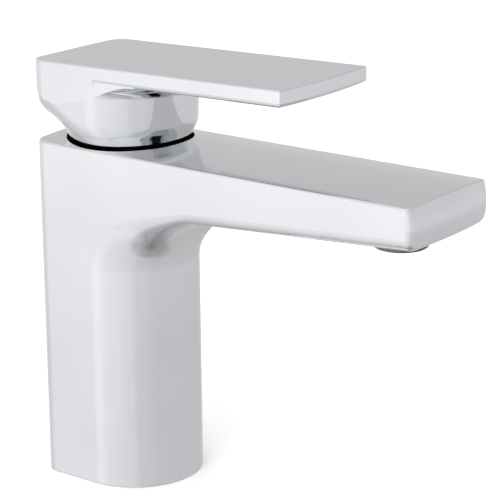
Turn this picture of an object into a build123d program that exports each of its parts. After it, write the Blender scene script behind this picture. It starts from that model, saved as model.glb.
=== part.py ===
from build123d import *
import math
import os

# Single-lever bathroom mixer. Millimetres, +Z up, spout towards -Y.
# The origin is on the deck, on the axis of the column and the cartridge.

# --- body casting ---
HALF_WIDTH = 22.5
REAR_Y = 24.0
REAR_CORNER_R = 5.0
TOP_Z = 117.3
TOP_SLOPE = 0.009
TOP_CROWN = 1.2
TOP_CROWN_R = (HALF_WIDTH**2 + TOP_CROWN**2) / (2 * TOP_CROWN)
TOP_EDGE_R = 0.7
SPOUT_TIP_Y = -124.2
SPOUT_TIP_BULGE = 1.3
SPOUT_BOTTOM_Z = 98.1
SPOUT_BOTTOM_SLOPE = 0.0564
SPOUT_BOTTOM_R = 4.0
SPOUT_TIP_CROWN = 1.1
SPOUT_TIP_MID_Z = 109.5
SPOUT_TIP_HALF_HEIGHT = 7.0
TIP_BOTTOM_R = 2.5
ELBOW_R = 22.0
ELBOW_Y = -44.5
ELBOW_Z = SPOUT_BOTTOM_Z - ELBOW_R
COLUMN_CORNER_R = 22.4

# --- hollows of the body ---
WALL_HALF = 18.3
WALL_REAR_Y = 20.0
HOSE_CAVITY_Z = 72.0
INLET_X = 6.0
INLET_Y = -2.4
INLET_THREAD_R = 4.5
INLET_THREAD_LEN = 12.0
INLET_BORE_R = 2.2
OUTLET_Y = 5.2
OUTLET_BORE_R = 2.8
STUD_Y = 13.5
STUD_BOSS_R = 6.5
STUD_THREAD_R = 3.4
STUD_THREAD_LEN = 20.0
STUD_FACE_Z = 6.0
SEAT_Z = 96.0
POCKET_R = 15.15
NUT_SEAT_Z = 103.6
NUT_BORE_R = 17.0
RECESS_Z = 110.3
RECESS_R = 21.5
CHANNEL_R = 2.9
SUMP_Z = 88.0
KNEE_Y = -22.0
KNEE_Z = 92.5
SPOUT_WAY_WIDTH = 24.0
SPOUT_WAY_HEIGHT = 7.6
SPOUT_WAY_Z = 108.3
AERATOR_Y = -107.5
AERATOR_BORE_R = 8.85
AERATOR_BORE_TOP = 110.2
GASKET_OUT = 20.9
GASKET_IN = 19.6
GASKET_H = 2.0

# --- lever handle ---
PIVOT_Z = 130.0
SLAB_TOP_Z = 145.55
SLAB_TOP_SLOPE = -0.0138
SLAB_UNDER_Z = 139.9
SLAB_UNDER_SLOPE = -0.0155
SLAB_HALF_REAR = 23.1
SLAB_HALF_FRONT = 23.9
SLAB_REAR_Y = 24.2
SLAB_REAR_R = 6.0
SLAB_FRONT_Y = -78.7
SLAB_FRONT_BULGE = 1.6
SLAB_EDGE_R = 0.45
SLAB_LOWER_R = 1.6
RIM_GAP = 0.4
HUB_FOOT_Z = 117.0
HUB_TOP_Z = 141.5
HUB_RIM_R = 20.1
HUB_SHOULDER_R = 22.9
HUB_SHOULDER_Z = 123.1
HUB_WIDE_R = 33.4
HUB_WIDE_Z = 130.1
HUB_TOP_R = 23.1
HUB_TOP_HALF = 23.6
HUB_TOP_REAR_Y = 24.6
HUB_FOOT_HALF = 22.6
HUB_FOOT_REAR_Y = 22.5
HUB_FOOT_CORNER_R = 7.7
HUB_ROUND_R = 8.0
HUB_FLARE_R = 8.0
HUB_BORE_BOTTOM_R = 18.1
HUB_BORE_TOP_R = 18.6
HUB_CEILING_Z = 136.5
SOCKET_SIDE = 7.1
SOCKET_TOP_Z = 143.0
GRUB_Z = 140.3
GRUB_R = 2.5
GRUB_LEN = 8.0
PLUG_R = 3.9
PLUG_LEN = 3.0

# --- cartridge ---
HOUSING_R = 12.5
HOUSING_FLANGE_R = 15.0
HOUSING_BOTTOM_Z = 100.2
HOUSING_FLANGE_TOP = 103.65
HOUSING_TOP_Z = 128.0
CHAMBER_R = 11.2
CHAMBER_TOP_Z = 117.5
NECK_BORE_R = 8.9
ROTOR_NECK_R = 8.5
ROTOR_FLANGE_R = 10.7
ROTOR_BOTTOM_Z = 114.2
ROTOR_FLANGE_TOP = 117.1
ROTOR_TOP_Z = 132.8
ROTOR_SLOT_HALF = 3.9
STEM_SIDE = 7.0
STEM_BALL_Z = 111.5
STEM_BALL_R = 2.6
PIN_R = 1.5
PIN_LEN = 15.4
DISC_REST_Y = 1.9
DISC_INLET_X = 3.8
DISC_INLET_Y = -3.8
DISC_INLET_R = 1.4
DISC_OUTLET_Y = 3.4
DISC_OUTLET_R = 1.8
MIXING_POCKET_R = 4.0
MIXING_SLOT_HALF = 1.9
MIXING_SLOT_LEN = 4.9
DISC_SEAL_R = 2.95
FIXED_DISC_R = 10.3
MOVING_DISC_R = 8.8
FIXED_DISC_TOP = 104.0
MOVING_DISC_TOP = 107.6
CARRIER_TOP = 113.6
GAP = 0.1


def ring(outer, inner, z0, z1, x=0.0, y=0.0):
    """Flat round ring between two heights."""
    disc = Circle(outer) - Circle(inner)
    return Pos(x, y, z0) * extrude(disc, z1 - z0)


def cylinder(radius, z0, z1, x=0.0, y=0.0):
    """Upright cylinder between two heights."""
    return Pos(x, y, z0) * extrude(Circle(radius), z1 - z0)


def rod(radius, start, end):
    """Round bar between two points."""
    axis = Vector(*end) - Vector(*start)
    plane = Plane(origin=start, z_dir=axis)
    return extrude(plane * Circle(radius), axis.length)


def block(x0, x1, y0, y1, z0, z1):
    """Box given by its limits."""
    size = Box(x1 - x0, y1 - y0, z1 - z0)
    return Pos((x0 + x1) / 2, (y0 + y1) / 2, (z0 + z1) / 2) * size


def torus(major, minor, z, x=0.0, y=0.0):
    """O-ring around an upright axis."""
    return Pos(x, y, z) * Torus(major, minor)


def d_face(half, rear_y, corner):
    """Plan section with a half-round front and a square rear with rounded corners."""
    k = corner * (1 - math.sqrt(0.5))
    side = rear_y - corner
    outline = [
        Line((-half, 0), (-half, side)),
        ThreePointArc((-half, side), (-half + k, rear_y - k), (-half + corner, rear_y)),
        Line((-half + corner, rear_y), (half - corner, rear_y)),
        ThreePointArc((half - corner, rear_y), (half - k, rear_y - k), (half, side)),
        Line((half, side), (half, 0)),
        ThreePointArc((half, 0), (0, -half), (-half, 0)),
    ]
    return make_face(outline)


def side_prism(points, half):
    """Side outline in Y and Z, extruded across the width."""
    face = make_face(Polyline([(0, y, z) for y, z in points], close=True))
    return extrude(face, amount=half, dir=(1, 0, 0), both=True)


# --- faucet body ---


def elbow_corner(angle):
    """Corner radius of the elbow: round as the column, tight as the spout."""
    blend = math.cos(angle) ** 4
    return SPOUT_BOTTOM_R + (COLUMN_CORNER_R - SPOUT_BOTTOM_R) * blend


def elbow_section(angle):
    """Air side of the elbow's skin, in a plane through the elbow's centre line."""
    corner = elbow_corner(angle)
    k = corner * (1 - math.sqrt(0.5))
    far = HALF_WIDTH + 3
    flat = HALF_WIDTH - corner
    plane = Plane(
        origin=(0, ELBOW_Y, ELBOW_Z),
        x_dir=(1, 0, 0),
        z_dir=(0, -math.sin(angle), math.cos(angle)),
    )
    base = ELBOW_R
    deep = base + corner
    lines = [
        Line((-far, 3), (-far, deep)),
        Line((-far, deep), (-HALF_WIDTH, deep)),
        ThreePointArc((-HALF_WIDTH, deep), (-HALF_WIDTH + k, base + k), (-flat, base)),
        Line((-flat, base), (flat, base)),
        ThreePointArc((flat, base), (HALF_WIDTH - k, base + k), (HALF_WIDTH, deep)),
        Line((HALF_WIDTH, deep), (far, deep)),
        Line((far, deep), (far, 3)),
        Line((far, 3), (-far, 3)),
    ]
    return plane * make_face(lines)


def elbow():
    """Top of the column, with the swept underside that leads into the spout."""
    rear = block(-HALF_WIDTH, HALF_WIDTH, ELBOW_Y, REAR_Y, ELBOW_Z, TOP_Z + 4)
    upright = [e for e in rear.edges().filter_by(Axis.Z) if e.center().Y > 0]
    rear = fillet(upright, REAR_CORNER_R)
    steps = 8
    sections = [elbow_section(math.radians(90 * i / steps)) for i in range(steps + 1)]
    air = loft(sections)
    core = Pos(0, ELBOW_Y, ELBOW_Z) * Rot(0, 90, 0) * Cylinder(6, 60)
    return rear - air - core


def column_plan():
    """Plan of the column: square rear, and the elbow's own curve in front."""
    k = REAR_CORNER_R * (1 - math.sqrt(0.5))
    m = COLUMN_CORNER_R * (1 - math.sqrt(0.5))
    half, rear, flat = HALF_WIDTH, REAR_Y, HALF_WIDTH - COLUMN_CORNER_R
    side = rear - REAR_CORNER_R
    inset = half - REAR_CORNER_R
    return make_face([
        Line((-half, -flat), (-half, side)),
        ThreePointArc((-half, side), (-half + k, rear - k), (-inset, rear)),
        Line((-inset, rear), (inset, rear)),
        ThreePointArc((inset, rear), (half - k, rear - k), (half, side)),
        Line((half, side), (half, -flat)),
        ThreePointArc((half, -flat), (half - m, -half + m), (flat, -half)),
        Line((flat, -half), (-flat, -half)),
        ThreePointArc((-flat, -half), (-half + m, -half + m), (-half, -flat)),
    ])


def spout():
    """Flat spout, thinner and bowed at its tip, with rounded lower edges."""
    tip, half, low = SPOUT_TIP_Y, HALF_WIDTH, SPOUT_BOTTOM_Z
    corner = SPOUT_BOTTOM_R
    k = corner * (1 - math.sqrt(0.5))
    root = Plane(origin=(0, ELBOW_Y, 0), x_dir=(1, 0, 0), z_dir=(0, -1, 0))
    section = make_face([
        Line((-half, low + corner), (-half, TOP_Z + 4)),
        Line((-half, TOP_Z + 4), (half, TOP_Z + 4)),
        Line((half, TOP_Z + 4), (half, low + corner)),
        ThreePointArc((half, low + corner), (half - k, low + k), (half - corner, low)),
        Line((half - corner, low), (corner - half, low)),
        ThreePointArc((corner - half, low), (k - half, low + k), (-half, low + corner)),
    ])
    run = ELBOW_Y - tip + 4
    length = run * math.hypot(1, SPOUT_BOTTOM_SLOPE)
    bar = extrude(root * section, length, dir=(0, -1, SPOUT_BOTTOM_SLOPE))
    bar = bar & tip_barrel()
    front = [
        e for e in bar.edges()
        if e.center().Y < tip + 2.5 and e.center().Z < 105 and e.length > 25
    ]
    return fillet(front, TIP_BOTTOM_R)


def tip_barrel():
    """Wide barrel whose flank is the doubly curved front face of the spout."""
    reach = (HALF_WIDTH**2 + SPOUT_TIP_BULGE**2) / (2 * SPOUT_TIP_BULGE)
    mid = SPOUT_TIP_MID_Z
    drop = 4 * SPOUT_TIP_CROWN
    low, high = mid - 2 * SPOUT_TIP_HALF_HEIGHT, mid + 2 * SPOUT_TIP_HALF_HEIGHT
    outline = make_face([
        Line((0, 0, low), (reach - drop, 0, low)),
        ThreePointArc((reach - drop, 0, low), (reach, 0, mid), (reach - drop, 0, high)),
        Line((reach - drop, 0, high), (0, 0, high)),
        Line((0, 0, high), (0, 0, low)),
    ])
    front = SPOUT_TIP_Y - SPOUT_TIP_BULGE - SPOUT_TIP_CROWN
    return Pos(0, front + reach, 0) * revolve(outline, Axis.Z, 360)


def crown(rise):
    """Long cylinder whose upper side is the crowned top face, raised by a given amount."""
    lean = math.degrees(math.atan(TOP_SLOPE))
    axis_z = TOP_Z + TOP_CROWN - TOP_CROWN_R
    bar = Rot(90, 0, 0) * Cylinder(TOP_CROWN_R + rise, 400)
    return Pos(0, 0, axis_z) * Rot(lean, 0, 0) * bar


def body_hollows():
    """Waterways, seats and cavities, as one list of cutters."""
    cavity = extrude(d_face(WALL_HALF, WALL_REAR_Y, 3.0), HOSE_CAVITY_Z)
    boss = cylinder(STUD_BOSS_R, STUD_FACE_Z, HOSE_CAVITY_Z + 1, 0, STUD_Y)
    rib = block(-4.5, 4.5, STUD_Y, WALL_REAR_Y + 1, STUD_FACE_Z, HOSE_CAVITY_Z + 1)
    cuts = [cavity - boss - rib]
    cuts.append(cylinder(STUD_THREAD_R, 0, STUD_FACE_Z + STUD_THREAD_LEN, 0, STUD_Y))
    groove = d_face(GASKET_OUT, REAR_Y - HALF_WIDTH + GASKET_OUT, 3.6)
    groove -= d_face(GASKET_IN, REAR_Y - HALF_WIDTH + GASKET_IN, 2.6)
    cuts.append(extrude(groove, GASKET_H))
    for side in (-1, 1):
        x = side * INLET_X
        top = HOSE_CAVITY_Z + INLET_THREAD_LEN
        cuts.append(cylinder(INLET_THREAD_R, HOSE_CAVITY_Z - 1, top, x, INLET_Y))
        cuts.append(cylinder(INLET_BORE_R, top - 1, SEAT_Z + 1, x, INLET_Y))
    cuts.append(cylinder(POCKET_R, SEAT_Z, TOP_Z + 5))
    cuts.append(cylinder(NUT_BORE_R, NUT_SEAT_Z, TOP_Z + 5))
    cuts.append(cylinder(RECESS_R, RECESS_Z, TOP_Z + 5))
    sump = (0, OUTLET_Y, SUMP_Z)
    knee = (0, KNEE_Y, KNEE_Z)
    cuts.append(cylinder(OUTLET_BORE_R, SUMP_Z, SEAT_Z + 1, 0, OUTLET_Y))
    cuts.append(Pos(*sump) * Sphere(CHANNEL_R))
    cuts.append(rod(CHANNEL_R, sump, knee))
    cuts.append(Pos(*knee) * Sphere(CHANNEL_R))
    cuts.append(rod(CHANNEL_R, knee, (0, -29.0, 107.0)))
    way = SlotOverall(SPOUT_WAY_WIDTH, SPOUT_WAY_HEIGHT)
    start = Plane(origin=(0, -25.0, SPOUT_WAY_Z), x_dir=(1, 0, 0), z_dir=(0, -1, 0))
    cuts.append(extrude(start * way, -25.0 - AERATOR_Y))
    cuts.append(cylinder(AERATOR_BORE_R, 95, AERATOR_BORE_TOP, 0, AERATOR_Y))
    return cuts


def faucet_body():
    """Hollow casting: column, elbow and spout in one piece."""
    column = extrude(column_plan(), ELBOW_Z)
    solid = column + elbow() + spout()
    solid = solid & crown(0)
    top = max(solid.faces().filter_by(GeomType.CYLINDER), key=lambda face: face.area)
    solid = fillet(top.edges(), TOP_EDGE_R)
    for cut in body_hollows():
        solid = solid - cut
    return solid


# --- lever handle ---


def slab_under(y):
    return SLAB_UNDER_Z + SLAB_UNDER_SLOPE * y


def slab_top(y):
    return SLAB_TOP_Z + SLAB_TOP_SLOPE * y


def slab_plan():
    """Outline of the lever from above: bowed in front, rounded at the rear corners."""
    rear, front = SLAB_REAR_Y, SLAB_FRONT_Y
    w0, w1 = SLAB_HALF_REAR, SLAB_HALF_FRONT
    plan = make_face([
        Line((-w1, front), (-w0, rear)),
        Line((-w0, rear), (w0, rear)),
        Line((w0, rear), (w1, front)),
        ThreePointArc((w1, front), (0, front - SLAB_FRONT_BULGE), (-w1, front)),
    ])
    corners = [v for v in plan.vertices() if v.Y > 0]
    return fillet(corners, SLAB_REAR_R)


def slab():
    """Flat lever plate, softly rounded below except where the hub carries on from it."""
    y0, y1 = SLAB_FRONT_Y - 5, SLAB_REAR_Y + 5
    outline = [
        (y0, slab_under(y0)),
        (y1, slab_under(y1)),
        (y1, slab_top(y1)),
        (y0, slab_top(y0)),
    ]
    plate = side_prism(outline, 40) & (Pos(0, 0, 130) * extrude(slab_plan(), 30))
    upper = [e for e in plate.edges() if abs(e.center().Z - slab_top(e.center().Y)) < 0.05]
    plate = fillet(upper, SLAB_EDGE_R)
    rear = plate & block(-30, 30, -0.5, 30, 130, 150)
    lower = [
        e for e in plate.edges()
        if e.length > 40 and e.center().Z < slab_under(e.center().Y) + 0.1
        and e.center().Y < 0
    ]
    return fillet(lower, SLAB_LOWER_R) + rear


def hub_cone():
    """Flaring body of revolution that draws the hub in to a round rim."""
    top = HUB_TOP_Z + 1
    outline = make_face([
        Line((0, 0, HUB_FOOT_Z), (HUB_RIM_R, 0, HUB_FOOT_Z)),
        Line((HUB_RIM_R, 0, HUB_FOOT_Z), (HUB_RIM_R, 0, HUB_FOOT_Z + 0.4)),
        ThreePointArc(
            (HUB_RIM_R, 0, HUB_FOOT_Z + 0.4),
            (HUB_SHOULDER_R, 0, HUB_SHOULDER_Z),
            (HUB_WIDE_R, 0, HUB_WIDE_Z),
        ),
        Line((HUB_WIDE_R, 0, HUB_WIDE_Z), (HUB_WIDE_R, 0, top)),
        Line((HUB_WIDE_R, 0, top), (0, 0, top)),
        Line((0, 0, top), (0, 0, HUB_FOOT_Z)),
    ])
    return revolve(outline, Axis.Z, 360)


def hub():
    """Hull under the rear of the slab, drawn in below to a rim that follows the crown."""
    low = Pos(0, 0, HUB_FOOT_Z) * d_face(HUB_FOOT_HALF, HUB_FOOT_REAR_Y, HUB_FOOT_CORNER_R)
    high = Pos(0, 0, HUB_TOP_Z) * d_face(HUB_TOP_HALF, HUB_TOP_REAR_Y, SLAB_REAR_R)
    hull = loft([low, high], ruled=True) & hub_cone()
    seam = [
        e for e in hull.edges()
        if 121 < e.center().Z < 135 and e.bounding_box().size.Z < 9 and e.length > 10
    ]
    hull = fillet(seam, HUB_ROUND_R) & (Pos(0, 0, 110) * extrude(slab_plan(), 34))
    return hull - crown(RIM_GAP)


def hub_flare():
    """Concave sweep between the round hub and the underside of the slab."""
    top = slab_under(-HUB_TOP_R) + 0.6
    inner = HUB_TOP_R - 1.5
    k = HUB_FLARE_R * (1 - math.sqrt(0.5))
    r0 = HUB_TOP_R - 0.35
    outline = make_face([
        Line((inner, 0, top), (r0 + HUB_FLARE_R, 0, top)),
        Line((r0 + HUB_FLARE_R, 0, top), (r0 + HUB_FLARE_R, 0, top - 0.6)),
        ThreePointArc(
            (r0 + HUB_FLARE_R, 0, top - 0.6),
            (r0 + k, 0, top - 0.6 - k),
            (r0, 0, top - 0.6 - HUB_FLARE_R),
        ),
        Line((r0, 0, top - 0.6 - HUB_FLARE_R), (inner, 0, top - 0.6 - HUB_FLARE_R)),
        Line((inner, 0, top - 0.6 - HUB_FLARE_R), (inner, 0, top)),
    ])
    full = revolve(outline, Axis.Z, 360)
    limit = block(-HUB_TOP_R, HUB_TOP_R, -60, 0, 120, 142)
    return full & limit


def lever_handle():
    """Slab and hub in one casting, hollow under the hub."""
    solid = slab() + hub() + hub_flare()
    bore = Cone(HUB_BORE_BOTTOM_R, HUB_BORE_TOP_R, HUB_CEILING_Z - HUB_FOOT_Z)
    bore = Pos(0, 0, (HUB_CEILING_Z + HUB_FOOT_Z) / 2) * bore
    solid = solid - bore
    side = SOCKET_SIDE / 2
    solid = solid - block(-side, side, -side, side, HUB_CEILING_Z - 1, SOCKET_TOP_Z)
    solid = solid - rod(GRUB_R + 0.02, (0, 0, GRUB_Z), (0, 30, GRUB_Z))
    plug_y = SLAB_REAR_Y - PLUG_LEN
    solid = solid - rod(PLUG_R + 0.05, (0, plug_y - GAP, GRUB_Z), (0, 30, GRUB_Z))
    return solid


def handle_grub_screw():
    """Headless screw that clamps the handle on the stem."""
    start = STEM_SIDE / 2 + 0.02
    screw = rod(GRUB_R, (0, start, GRUB_Z), (0, start + GRUB_LEN, GRUB_Z))
    plane = Plane(origin=(0, start + GRUB_LEN, GRUB_Z), z_dir=(0, 1, 0))
    hexagon = extrude(plane * RegularPolygon(1.25, 6, major_radius=False), -2.6)
    ends = [e for e in screw.edges() if e.geom_type == GeomType.CIRCLE]
    return chamfer(ends, 0.4) - hexagon


def index_plug():
    """Cap that closes the screw hole in the rear of the handle."""
    y0 = SLAB_REAR_Y - PLUG_LEN
    plug = rod(PLUG_R, (0, y0, GRUB_Z), (0, SLAB_REAR_Y + 0.1, GRUB_Z))
    outer = [e for e in plug.edges() if e.center().Y > SLAB_REAR_Y - 0.5]
    plug = fillet([e for e in outer if e.geom_type == GeomType.CIRCLE], 0.35)
    return plug - rod(PLUG_R - 1.3, (0, y0 - 1, GRUB_Z), (0, y0 + 1.6, GRUB_Z))


# --- cartridge ---


def seat_ports():
    """Plan positions of the two inlets and the outlet on the seat."""
    return [(-INLET_X, INLET_Y), (INLET_X, INLET_Y), (0, OUTLET_Y)]


def disc_ports():
    """The same three, drawn in towards the axis under the discs, with their radii."""
    return [
        (-DISC_INLET_X, DISC_INLET_Y, DISC_INLET_R),
        (DISC_INLET_X, DISC_INLET_Y, DISC_INLET_R),
        (0, DISC_OUTLET_Y, DISC_OUTLET_R),
    ]


def cartridge_base():
    """Bottom plate of the cartridge, with three stepped ports."""
    base = cylinder(14.8, 96.6, HOUSING_BOTTOM_Z - 0.05)
    for x, y in seat_ports():
        base = base - cylinder(2.2, 95, 98.9, x, y)
        base = base - cylinder(3.75, 95, 97.6, x, y)
    for x, y, radius in disc_ports():
        base = base - cylinder(radius, 98.2, 102, x, y)
        base = base - cylinder(DISC_SEAL_R + 0.1, 99.5, 102, x, y)
    return base


def base_seals():
    """Three rubber rings between the base plate and the seat."""
    return [ring(3.65, 2.9, SEAT_Z + 0.02, 97.55, x, y) for x, y in seat_ports()]


def disc_seals():
    """Three rubber rings between the base plate and the fixed disc."""
    return [ring(DISC_SEAL_R, 2.1, 99.55, 100.35, x, y) for x, y, _ in disc_ports()]


def fixed_disc():
    """Ceramic disc with three ports and two locating notches."""
    disc = cylinder(FIXED_DISC_R, 100.4, FIXED_DISC_TOP)
    for x, y, radius in disc_ports():
        disc = disc - cylinder(radius, 99, 106, x, y)
    for side in (-1, 1):
        disc = disc - cylinder(1.2, 99, 106, side * FIXED_DISC_R, -4)
    return disc


def moving_disc():
    """Ceramic disc with the mixing pocket in its lower face."""
    disc = cylinder(MOVING_DISC_R, FIXED_DISC_TOP + GAP, MOVING_DISC_TOP, 0, DISC_REST_Y)
    low, high = FIXED_DISC_TOP - 1, FIXED_DISC_TOP + 1.8
    half, end = MIXING_SLOT_HALF, DISC_REST_Y + MIXING_SLOT_LEN
    pocket = cylinder(MIXING_POCKET_R, low, high, 0, DISC_REST_Y)
    pocket += block(-half, half, DISC_REST_Y, end, low, high)
    pocket += cylinder(half, low, high, 0, end)
    return disc - pocket


def disc_carrier():
    """Slide on top of the moving disc, with a socket for the lever's ball."""
    z0 = MOVING_DISC_TOP + GAP
    carrier = cylinder(MOVING_DISC_R, z0, CARRIER_TOP, 0, DISC_REST_Y)
    return carrier - block(-3.0, 3.0, -3.1, 3.1, 108.4, CARRIER_TOP + 1)


def cartridge_housing():
    """Outer shell of the cartridge, with a clamping flange at its foot."""
    shell = cylinder(HOUSING_R, HOUSING_BOTTOM_Z, HOUSING_TOP_Z)
    shell += cylinder(HOUSING_FLANGE_R, HOUSING_BOTTOM_Z, HOUSING_FLANGE_TOP)
    shell -= cylinder(CHAMBER_R, HOUSING_BOTTOM_Z - 1, CHAMBER_TOP_Z)
    shell -= cylinder(NECK_BORE_R, CHAMBER_TOP_Z - 1, HOUSING_TOP_Z + 1)
    return shell - ring(HOUSING_FLANGE_R + 1, 13.25, 100.95, 102.75)


def housing_oring():
    return torus(14.15, 0.88, 101.85)


def rotor():
    """Turret that turns in the housing, slotted for the lever and its ball."""
    turret = cylinder(ROTOR_NECK_R, ROTOR_BOTTOM_Z, ROTOR_TOP_Z)
    turret += cylinder(ROTOR_FLANGE_R, ROTOR_BOTTOM_Z, ROTOR_FLANGE_TOP)
    half = ROTOR_SLOT_HALF
    turret -= block(-3.2, 3.2, -8.8, 4.9, ROTOR_BOTTOM_Z - 1, ROTOR_FLANGE_TOP - 0.6)
    turret -= block(-2.5, 2.5, -7.5, 4.9, ROTOR_BOTTOM_Z, 127.5)
    turret -= block(-half, half, -4.6, 5.0, 126.0, ROTOR_TOP_Z + 1)
    turret -= ring(ROTOR_NECK_R + 1, 7.6, 121.2, 122.8)
    return turret - rod(PIN_R + 0.02, (-20, 0, PIVOT_Z), (20, 0, PIVOT_Z))


def rotor_oring():
    return torus(8.2, 0.58, 122.0)


def stem_pivot_pin():
    return rod(PIN_R, (-PIN_LEN / 2, 0, PIVOT_Z), (PIN_LEN / 2, 0, PIVOT_Z))


def lever_stem():
    """Square spigot for the handle, cross bore for the pin and a ball below."""
    side = STEM_SIDE / 2
    stem = block(-side, side, -side, side, 127.6, 142.6)
    stem += cylinder(1.9, STEM_BALL_Z, 128.5)
    stem += Pos(0, 0, STEM_BALL_Z) * Sphere(STEM_BALL_R)
    return stem - rod(PIN_R + 0.05, (-20, 0, PIVOT_Z), (20, 0, PIVOT_Z))


def retaining_nut():
    """Ring nut that clamps the cartridge, with four spanner notches."""
    nut = ring(NUT_BORE_R - 0.05, HOUSING_R + 0.1, HOUSING_FLANGE_TOP + 0.02, 109.8)
    for angle in range(45, 405, 90):
        notch = Rot(0, 0, angle) * block(15.0, 18.0, -1.5, 1.5, 107.8, 111)
        nut = nut - notch
    return nut


def hot_limit_ring():
    """Snap ring with a stop tab that limits the hot side."""
    inner = NECK_BORE_R + 0.15
    band = ring(11.6, inner, HOUSING_TOP_Z + 0.02, 129.6)
    return band + block(inner + 0.1, 11.4, -1.6, 1.6, 129.0, 130.4)


# --- aerator ---


def aerator_housing():
    """Screwed ring in the spout's outlet."""
    z0, z1 = 97.2, 108.0
    shell = ring(AERATOR_BORE_R - 0.1, 7.2, z0, z1, 0, AERATOR_Y)
    lip = ring(7.4, 6.6, z0, z0 + 1.2, 0, AERATOR_Y)
    rims = [e for e in shell.edges() if e.center().Z < z0 + 0.1]
    shell = chamfer([e for e in rims if e.radius > 8], 0.4)
    return shell + lip


def aerator_insert():
    """Flow straightener: an open grid in a round frame."""
    z0, z1 = 98.5, 104.0
    frame = ring(7.1, 6.0, z0, z1, 0, AERATOR_Y)
    grid = Circle(6.2)
    cells = [Pos(3.0 * i, 3.0 * j) * Rectangle(2.3, 2.3) for i in (-1, 0, 1) for j in (-1, 0, 1)]
    for cell in cells:
        grid = grid - cell
    return frame + Pos(0, AERATOR_Y, z0 + 0.6) * extrude(grid, 3.0)


def aerator_regulator():
    """Flow-regulating disc above the straightener, with a ring of jets."""
    plate = cylinder(7.1, 104.05, 107.0, 0, AERATOR_Y)
    for i in range(10):
        a = math.radians(36 * i)
        x, y = 4.4 * math.cos(a), AERATOR_Y + 4.4 * math.sin(a)
        plate = plate - cylinder(0.8, 103, 108, x, y)
    return plate


def aerator_seal():
    return ring(8.7, 6.4, 108.05, 109.9, 0, AERATOR_Y)


def base_gasket():
    """Rubber ring let into the foot of the body."""
    outer = d_face(GASKET_OUT - 0.05, REAR_Y - HALF_WIDTH + GASKET_OUT - 0.05, 3.55)
    inner = d_face(GASKET_IN + 0.05, REAR_Y - HALF_WIDTH + GASKET_IN + 0.05, 2.65)
    return extrude(outer - inner, GASKET_H - 0.02)


NODES = {
    "faucet_body": faucet_body,
    "base_gasket": base_gasket,
    "lever_handle": lever_handle,
    "handle_grub_screw": handle_grub_screw,
    "index_plug": index_plug,
    "cartridge_housing": cartridge_housing,
    "housing_oring": housing_oring,
    "cartridge_base": cartridge_base,
    "base_seals": base_seals,
    "disc_seals": disc_seals,
    "fixed_disc": fixed_disc,
    "moving_disc": moving_disc,
    "disc_carrier": disc_carrier,
    "rotor": rotor,
    "rotor_oring": rotor_oring,
    "stem_pivot_pin": stem_pivot_pin,
    "lever_stem": lever_stem,
    "retaining_nut": retaining_nut,
    "hot_limit_ring": hot_limit_ring,
    "aerator_housing": aerator_housing,
    "aerator_insert": aerator_insert,
    "aerator_regulator": aerator_regulator,
    "aerator_seal": aerator_seal,
}

os.makedirs("parts", exist_ok=True)
for name, make in NODES.items():
    shape = make()
    if isinstance(shape, list):
        shape = Compound(children=shape)
    export_step(shape, f"parts/{name}.step")
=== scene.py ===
import math

import bpy
from mathutils import Matrix, Vector


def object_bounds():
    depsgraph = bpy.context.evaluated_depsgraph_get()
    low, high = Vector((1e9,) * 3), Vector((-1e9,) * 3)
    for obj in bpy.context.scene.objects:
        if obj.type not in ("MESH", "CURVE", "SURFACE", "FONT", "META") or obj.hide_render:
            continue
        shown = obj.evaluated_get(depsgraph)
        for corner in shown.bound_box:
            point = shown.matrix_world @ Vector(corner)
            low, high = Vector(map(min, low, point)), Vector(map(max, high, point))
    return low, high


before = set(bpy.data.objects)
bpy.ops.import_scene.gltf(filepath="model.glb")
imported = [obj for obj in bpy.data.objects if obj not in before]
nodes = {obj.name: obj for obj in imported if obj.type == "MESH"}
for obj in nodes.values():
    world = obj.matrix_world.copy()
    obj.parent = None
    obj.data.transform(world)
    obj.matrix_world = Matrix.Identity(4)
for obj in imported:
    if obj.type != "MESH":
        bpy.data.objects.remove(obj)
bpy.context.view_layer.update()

scene = bpy.context.scene

# Metres. +Z is up, the spout points to -Y and the deck is at zero.

# --- materials -------------------------------------------------------------------------

# where the plating stops: radius round the upright axis, and height
RAW_BORE_BODY = 0.02152
RAW_BORE_LEVER = 0.0188
RAW_CEILING_LEVER = 0.1367
NO_CEILING = 1.0

# texture scales in cells per metre, and stretches as plain factors
DRIFT_SCALE = 28.0
HAZE_SCALE = 420.0
WAVE_SCALE = 34.0
HAIR_SCALE = 900.0
HAIR_STRETCH = 0.06
TURNING_SCALE = 180.0
TURNING_STRETCH = 30.0
TURNED_TONE_SCALE = 90.0
FLOW_SCALE = 60.0
FLOW_STRETCH = 0.35
GRAIN_SCALE = 700.0
BLOOM_SCALE = 120.0
PIT_SCALE = 1500.0
SPECK_SCALE = 1600.0
LAPPING_SCALE = 300.0
FLOOR_TONE_SCALE = 6.0

# bump heights, in metres
WAVE_HEIGHT = 0.00006
HAIR_HEIGHT = 0.00002
TURNING_HEIGHT = 0.00004
GRAIN_HEIGHT = 0.00005
LAPPING_HEIGHT = 0.00002


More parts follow.
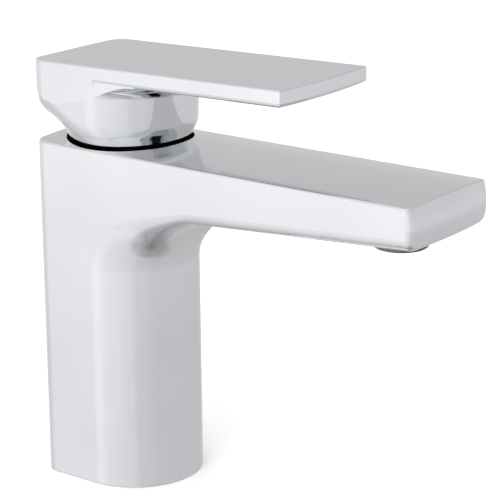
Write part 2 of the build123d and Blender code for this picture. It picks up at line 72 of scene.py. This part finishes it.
class Graph:
    """Small helper that adds and links shader nodes."""

    def __init__(self, name):
        self.material = bpy.data.materials.new(name)
        self.material.use_nodes = True
        self.tree = self.material.node_tree
        self.shader = self.tree.nodes["Principled BSDF"]
        self.coords = self.add("ShaderNodeTexCoord").outputs["Object"]

    def add(self, kind, **inputs):
        node = self.tree.nodes.new(kind)
        for key, value in inputs.items():
            node.inputs[key.replace("_", " ")].default_value = value
        return node

    def link(self, out, into):
        self.tree.links.new(out, into)

    def scaled(self, x, y, z):
        mapping = self.add("ShaderNodeMapping")
        mapping.inputs["Scale"].default_value = (x, y, z)
        self.link(self.coords, mapping.inputs["Vector"])
        return mapping.outputs["Vector"]

    def noise(self, scale, detail=3.0, roughness=0.5, vector=None):
        node = self.add("ShaderNodeTexNoise", Scale=scale, Detail=detail, Roughness=roughness)
        self.link(vector or self.coords, node.inputs["Vector"])
        return node.outputs["Fac"]

    def span(self, value, low, high, start=0.3, end=0.7):
        """Maps start..end of a texture onto low..high."""
        node = self.add("ShaderNodeMapRange")
        node.inputs["From Min"].default_value = start
        node.inputs["From Max"].default_value = end
        node.inputs["To Min"].default_value = low
        node.inputs["To Max"].default_value = high
        self.link(value, node.inputs["Value"])
        return node.outputs["Result"]

    def colour(self, value, low, high, start=0.3, end=0.7):
        ramp = self.tree.nodes.new("ShaderNodeValToRGB")
        ramp.color_ramp.elements[0].position = start
        ramp.color_ramp.elements[0].color = (*low, 1.0)
        ramp.color_ramp.elements[1].position = end
        ramp.color_ramp.elements[1].color = (*high, 1.0)
        self.link(value, ramp.inputs["Fac"])
        return ramp.outputs["Color"]

    def inside(self, radius, ceiling):
        """One near the upright axis and under a height, in metres, else zero."""
        flat = self.tree.nodes.new("ShaderNodeVectorMath")
        flat.operation = "LENGTH"
        self.link(self.scaled(1.0, 1.0, 0.0), flat.inputs[0])
        split = self.tree.nodes.new("ShaderNodeSeparateXYZ")
        self.link(self.coords, split.inputs["Vector"])
        near = self.less(flat.outputs["Value"], radius)
        low = self.less(split.outputs["Z"], ceiling)
        both = self.tree.nodes.new("ShaderNodeMath")
        both.operation = "MULTIPLY"
        self.link(near, both.inputs[0])
        self.link(low, both.inputs[1])
        return both.outputs["Value"]

    def less(self, value, limit):
        node = self.tree.nodes.new("ShaderNodeMath")
        node.operation = "LESS_THAN"
        self.link(value, node.inputs[0])
        node.inputs[1].default_value = limit
        return node.outputs["Value"]

    def blend(self, kind, share, first, second):
        """Mixes two colours or two numbers."""
        node = self.tree.nodes.new("ShaderNodeMix")
        node.data_type = kind
        wanted = "RGBA" if kind == "RGBA" else "VALUE"
        fits = [socket for socket in node.inputs if socket.type == wanted]
        self.link(share, node.inputs["Factor"])
        self.link(first, fits[-2])
        self.link(second, fits[-1])
        return [socket for socket in node.outputs if socket.type == wanted][0]

    def bump(self, height, strength, distance, after=None):
        node = self.add("ShaderNodeBump", Strength=strength, Distance=distance)
        self.link(height, node.inputs["Height"])
        if after is not None:
            self.link(after, node.inputs["Normal"])
        return node.outputs["Normal"]


RAW_DARK = (0.10, 0.075, 0.04)
RAW_PALE = (0.17, 0.13, 0.075)
RAW_ROUGH = (0.5, 0.68)


def chrome(name, low, high, rough_low, rough_high, bore=None, ceiling=NO_CEILING):
    """Polished plating: faint tone drift, fine haze, and hairline wiping marks.

    Within the bore radius, and below the ceiling, the casting is left raw and dull.
    """
    g = Graph(name)
    s = g.shader
    s.inputs["Metallic"].default_value = 1.0
    drift = g.noise(DRIFT_SCALE, detail=2.0)
    tone = g.colour(drift, low, high)
    haze = g.noise(HAZE_SCALE, detail=4.0)
    rough = g.span(haze, rough_low, rough_high)
    if bore is not None:
        raw = g.inside(bore, ceiling)
        tone = g.blend("RGBA", raw, tone, g.colour(haze, RAW_DARK, RAW_PALE))
        rough = g.blend("FLOAT", raw, rough, g.span(haze, *RAW_ROUGH))
    g.link(tone, s.inputs["Base Color"])
    g.link(rough, s.inputs["Roughness"])
    soft = g.bump(g.noise(WAVE_SCALE, detail=1.0), 0.35, WAVE_HEIGHT)
    hair = g.noise(HAIR_SCALE, detail=2.0, vector=g.scaled(1.0, HAIR_STRETCH, 1.0))
    g.link(g.bump(hair, 0.05, HAIR_HEIGHT, after=soft), s.inputs["Normal"])
    return g.material


def turned(name, low, high, axis, rough_low=0.22, rough_high=0.42):
    """Machined metal: fine turning rings across one axis."""
    g = Graph(name)
    s = g.shader
    s.inputs["Metallic"].default_value = 1.0
    stretch = [TURNING_STRETCH if letter == axis else 1.0 for letter in "XYZ"]
    rings = g.noise(TURNING_SCALE, detail=3.0, vector=g.scaled(*stretch))
    g.link(g.colour(g.noise(TURNED_TONE_SCALE), low, high), s.inputs["Base Color"])
    g.link(g.span(rings, rough_low, rough_high), s.inputs["Roughness"])
    g.link(g.bump(rings, 0.25, TURNING_HEIGHT), s.inputs["Normal"])
    return g.material


def moulded(name, low, high, rough_low, rough_high, coat=0.0):
    """Injection-moulded plastic: slight flow marks and a fine eroded grain."""
    g = Graph(name)
    s = g.shader
    flow = g.noise(FLOW_SCALE, detail=3.0, vector=g.scaled(1.0, 1.0, FLOW_STRETCH))
    g.link(g.colour(flow, low, high), s.inputs["Base Color"])
    pits = g.noise(GRAIN_SCALE, detail=3.0, roughness=0.6)
    g.link(g.span(pits, rough_low, rough_high), s.inputs["Roughness"])
    g.link(g.bump(pits, 0.2, GRAIN_HEIGHT), s.inputs["Normal"])
    s.inputs["Coat Weight"].default_value = coat
    return g.material


def rubber(name):
    """Black seal rubber with talc bloom and a matt, pitted skin."""
    g = Graph(name)
    s = g.shader
    bloom = g.noise(BLOOM_SCALE, detail=4.0, roughness=0.6)
    dark, pale = (0.018, 0.018, 0.019), (0.045, 0.045, 0.046)
    g.link(g.colour(bloom, dark, pale, 0.4, 0.75), s.inputs["Base Color"])
    pits = g.noise(PIT_SCALE, detail=2.0)
    g.link(g.span(bloom, 0.6, 0.85), s.inputs["Roughness"])
    g.link(g.bump(pits, 0.3, GRAIN_HEIGHT), s.inputs["Normal"])
    return g.material


def lapped_ceramic(name):
    """Alumina disc: white, faintly speckled, with a lapped satin face."""
    g = Graph(name)
    s = g.shader
    speck = g.noise(SPECK_SCALE, detail=2.0)
    g.link(g.colour(speck, (0.74, 0.72, 0.68), (0.88, 0.87, 0.84)), s.inputs["Base Color"])
    g.link(g.span(g.noise(LAPPING_SCALE), 0.18, 0.32), s.inputs["Roughness"])
    g.link(g.bump(speck, 0.08, LAPPING_HEIGHT), s.inputs["Normal"])
    return g.material


# dark and pale tone, then least and greatest roughness
PLATE_TONES = ((0.745, 0.755, 0.772), (0.785, 0.797, 0.815), 0.05, 0.085)
PLATE = chrome("chrome_plate", *PLATE_TONES)
BODY_PLATE = chrome("body_plate", *PLATE_TONES, bore=RAW_BORE_BODY)
LEVER_PLATE = chrome(
    "lever_plate", *PLATE_TONES, bore=RAW_BORE_LEVER, ceiling=RAW_CEILING_LEVER)
AERATOR_PLATE = chrome(
    "aerator_plate", (0.15, 0.155, 0.162), (0.19, 0.196, 0.205), 0.14, 0.24)
BRASS = turned("brass_parts", (0.70, 0.50, 0.22), (0.82, 0.62, 0.32), "Z")
STEEL = turned("steel_parts", (0.50, 0.50, 0.51), (0.62, 0.62, 0.63), "Y")
SHELL_PLASTIC = moulded(
    "cartridge_plastic", (0.012, 0.012, 0.013), (0.022, 0.022, 0.024), 0.38, 0.55)
DARK_PLASTIC = moulded("dark_plastic", (0.07, 0.073, 0.08), (0.10, 0.104, 0.112), 0.35, 0.5)
AERATOR_PLASTIC = moulded(
    "aerator_plastic", (0.07, 0.075, 0.08), (0.11, 0.115, 0.12), 0.2, 0.32, coat=0.3)
LIMIT_PLASTIC = moulded("limit_plastic", (0.45, 0.02, 0.015), (0.56, 0.04, 0.03), 0.32, 0.48)
CERAMIC = lapped_ceramic("disc_ceramic")
RUBBER = rubber("rubber_seals")

FINISH = {
    "faucet_body": BODY_PLATE,
    "base_gasket": RUBBER,
    "lever_handle": LEVER_PLATE,
    "handle_grub_screw": STEEL,
    "index_plug": PLATE,
    "cartridge_housing": SHELL_PLASTIC,
    "housing_oring": RUBBER,
    "cartridge_base": SHELL_PLASTIC,
    "base_seals": RUBBER,
    "disc_seals": RUBBER,
    "fixed_disc": CERAMIC,
    "moving_disc": CERAMIC,
    "disc_carrier": DARK_PLASTIC,
    "rotor": DARK_PLASTIC,
    "rotor_oring": RUBBER,
    "stem_pivot_pin": STEEL,
    "lever_stem": BRASS,
    "retaining_nut": BRASS,
    "hot_limit_ring": LIMIT_PLASTIC,
    "aerator_housing": AERATOR_PLATE,
    "aerator_insert": AERATOR_PLASTIC,
    "aerator_regulator": AERATOR_PLASTIC,
    "aerator_seal": RUBBER,
}
for name, material in FINISH.items():
    mesh = nodes[name].data
    mesh.materials.clear()
    mesh.materials.append(material)


# --- shading normals of the two polished castings --------------------------------------

# The fillet of the hub ends in a step of 0.008 mm, whose slivers would spoil the shading.
# Welding them and weighting the normals by area gives a clean polish.
MERGE_WITHIN = 0.00002
SHARP_ANGLE = math.radians(24.0)
CASTINGS = ("faucet_body", "lever_handle")


def sharp_edges():
    """Node group that marks every edge over the sharp angle."""
    tree = bpy.data.node_groups.new("sharp_edges", "GeometryNodeTree")
    tree.is_modifier = True
    tree.interface.new_socket("Geometry", in_out="INPUT", socket_type="NodeSocketGeometry")
    tree.interface.new_socket("Geometry", in_out="OUTPUT", socket_type="NodeSocketGeometry")
    start = tree.nodes.new("NodeGroupInput")
    end = tree.nodes.new("NodeGroupOutput")
    angle = tree.nodes.new("GeometryNodeInputMeshEdgeAngle")
    over = tree.nodes.new("FunctionNodeCompare")
    over.data_type = "FLOAT"
    over.operation = "GREATER_THAN"
    over.inputs[1].default_value = SHARP_ANGLE
    mark = tree.nodes.new("GeometryNodeSetShadeSmooth")
    mark.domain = "EDGE"
    mark.inputs["Shade Smooth"].default_value = False
    tree.links.new(angle.outputs["Unsigned Angle"], over.inputs[0])
    tree.links.new(over.outputs["Result"], mark.inputs["Selection"])
    tree.links.new(start.outputs["Geometry"], mark.inputs[0])
    tree.links.new(mark.outputs[0], end.inputs["Geometry"])
    return tree


SHARP = sharp_edges()
for name in CASTINGS:
    weld = nodes[name].modifiers.new("weld", "WELD")
    weld.merge_threshold = MERGE_WITHIN
    crease = nodes[name].modifiers.new("sharp_edges", "NODES")
    crease.node_group = SHARP
    even = nodes[name].modifiers.new("even_normals", "WEIGHTED_NORMAL")
    even.mode = "FACE_AREA_WITH_ANGLE"
    even.keep_sharp = True


# --- floor, backdrop and light ---------------------------------------------------------

FLOOR_HALF = 6.0
FLOOR_DROP = 0.0002

# tone of the tent by compass angle, and its factor by elevation, both in degrees
STUDIO_STOPS = [
    (0.0, 0.64), (42.0, 0.66), (58.0, 1.05), (75.0, 0.84), (105.0, 0.80), (120.0, 0.86),
    (135.0, 0.97), (149.0, 1.09), (168.0, 0.98), (182.0, 0.95), (208.0, 0.88), (226.0, 0.76),
    (262.0, 0.70), (310.0, 0.69), (345.0, 0.67), (360.0, 0.64),
]
HEIGHT_STOPS = [
    (-90.0, 0.36), (-72.0, 0.58), (-50.0, 0.90), (-24.0, 0.95), (-19.0, 0.98), (-12.0, 1.12),
    (2.0, 1.06), (12.0, 0.95), (35.0, 0.93), (60.0, 1.15), (90.0, 1.2),
]
# share of blue added to the light round about
COOL = 1.01


def floor():
    mesh = bpy.data.meshes.new("studio_floor")
    signs = ((-1, -1), (1, -1), (1, 1), (-1, 1))
    corners = [(x * FLOOR_HALF, y * FLOOR_HALF, 0.0) for x, y in signs]
    mesh.from_pydata(corners, [], [(0, 1, 2, 3)])
    plane = bpy.data.objects.new("studio_floor", mesh)
    plane.location.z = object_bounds()[0].z - FLOOR_DROP
    scene.collection.objects.link(plane)
    g = Graph("studio_floor")
    tone = g.noise(FLOOR_TONE_SCALE, detail=2.0)
    g.link(g.colour(tone, (0.9, 0.9, 0.9), (0.93, 0.93, 0.93)), g.shader.inputs["Base Color"])
    g.shader.inputs["Roughness"].default_value = 0.9
    g.shader.inputs["Specular IOR Level"].default_value = 0.1
    mesh.materials.append(g.material)
    plane.visible_glossy = False


floor()


def filled_ramp(tree, stops, share, tint):
    """Colour ramp from (degrees, level) stops, with its blue channel tinted."""
    ramp = tree.nodes.new("ShaderNodeValToRGB")
    ramp.color_ramp.interpolation = "EASE"
    elements = ramp.color_ramp.elements
    while len(elements) < len(stops):
        elements.new(0.5)
    for element, (degrees, level) in zip(elements, stops):
        element.position = share(degrees)
        element.color = (level, level, level * tint, 1.0)
    return ramp


def studio_world():
    """Tent of soft light: brightest at the rear left, greyer in front, dim below."""
    world = bpy.data.worlds.new("studio_tent")
    world.use_nodes = True
    tree = world.node_tree
    background = tree.nodes["Background"]
    coords = tree.nodes.new("ShaderNodeTexCoord")
    background.inputs["Strength"].default_value = 1.0
    split = tree.nodes.new("ShaderNodeSeparateXYZ")
    tree.links.new(coords.outputs["Generated"], split.inputs["Vector"])

    def maths(operation, *values):
        node = tree.nodes.new("ShaderNodeMath")
        node.operation = operation
        for socket, value in zip(node.inputs, values):
            if isinstance(value, (int, float)):
                socket.default_value = value
            else:
                tree.links.new(value, socket)
        return node.outputs["Value"]

    x, y, z = split.outputs
    # compass angle of the direction as a share of a turn: 0 towards +X, 0.5 towards -X
    turn = maths("MULTIPLY", maths("ARCTAN2", y, x), 1.0 / (2 * math.pi))
    turn = maths("FRACT", maths("ADD", turn, 1.0))
    around = filled_ramp(tree, STUDIO_STOPS, lambda degrees: degrees / 360.0, COOL)
    tree.links.new(turn, around.inputs["Fac"])
    # elevation share: 0 straight down, 0.5 level, 1 straight up
    height = maths("ADD", maths("MULTIPLY", maths("ARCSINE", z), 1.0 / math.pi), 0.5)
    upward = filled_ramp(tree, HEIGHT_STOPS, lambda degrees: (degrees + 90.0) / 180.0, 1.0)
    tree.links.new(height, upward.inputs["Fac"])
    mix = tree.nodes.new("ShaderNodeMix")
    mix.data_type = "RGBA"
    mix.blend_type = "MULTIPLY"
    mix.inputs["Factor"].default_value = 1.0
    tree.links.new(around.outputs["Color"], mix.inputs["A"])
    tree.links.new(upward.outputs["Color"], mix.inputs["B"])
    tree.links.new(mix.outputs["Result"], background.inputs["Color"])
    scene.world = world


studio_world()


LAMP_TARGET = Vector((0.0, -0.03, 0.05))
BACK_TARGET = Vector((0.0, 0.0, 0.05))


def lamp(name, location, target, size, power):
    """Square soft light that isn't seen in reflections."""
    light = bpy.data.lights.new(name, "AREA")
    light.shape = "SQUARE"
    light.size = size
    light.energy = power
    rig = bpy.data.objects.new(name, light)
    rig.location = location
    aim = target - Vector(location)
    rig.rotation_euler = aim.to_track_quat("-Z", "Y").to_euler()
    rig.visible_glossy = False
    scene.collection.objects.link(rig)


lamp("key_left", (-1.4, -0.5, 1.6), LAMP_TARGET, 1.6, 24.0)
lamp("fill_right", (1.3, -1.1, 1.5), LAMP_TARGET, 1.6, 12.0)
lamp("back_top", (0.2, 1.2, 1.9), BACK_TARGET, 1.8, 14.0)


# --- camera ----------------------------------------------------------------------------

# metres, degrees and millimetres of focal length
CAMERA_AT = (-0.5214, -0.4352, 0.2764)
CAMERA_AZIMUTH = -53.504
CAMERA_ELEVATION = 16.199
CAMERA_ROLL = -0.493
CAMERA_LENS = 148.94
SENSOR_WIDTH = 36.0


def camera():
    """Camera in front on the user's left, above the mixer and rolled slightly."""
    turn = math.radians(CAMERA_AZIMUTH)
    rise = math.radians(CAMERA_ELEVATION)
    roll = math.radians(CAMERA_ROLL)
    flat = math.cos(rise)
    back = Vector((math.sin(turn) * flat, -math.cos(turn) * flat, math.sin(rise)))
    right = Vector((math.cos(turn), math.sin(turn), 0.0))
    up = back.cross(right)
    side = math.cos(roll) * right + math.sin(roll) * up
    head = math.cos(roll) * up - math.sin(roll) * right
    pose = Matrix((side, head, back)).transposed().to_4x4()
    pose.translation = Vector(CAMERA_AT)
    data = bpy.data.cameras.new("camera")
    data.lens = CAMERA_LENS
    data.sensor_width = SENSOR_WIDTH
    data.sensor_fit = "HORIZONTAL"
    data.clip_start = 0.01
    data.clip_end = 50.0
    rig = bpy.data.objects.new("camera", data)
    rig.matrix_world = pose
    scene.collection.objects.link(rig)
    scene.camera = rig


camera()
scene.view_settings.view_transform = "Standard"
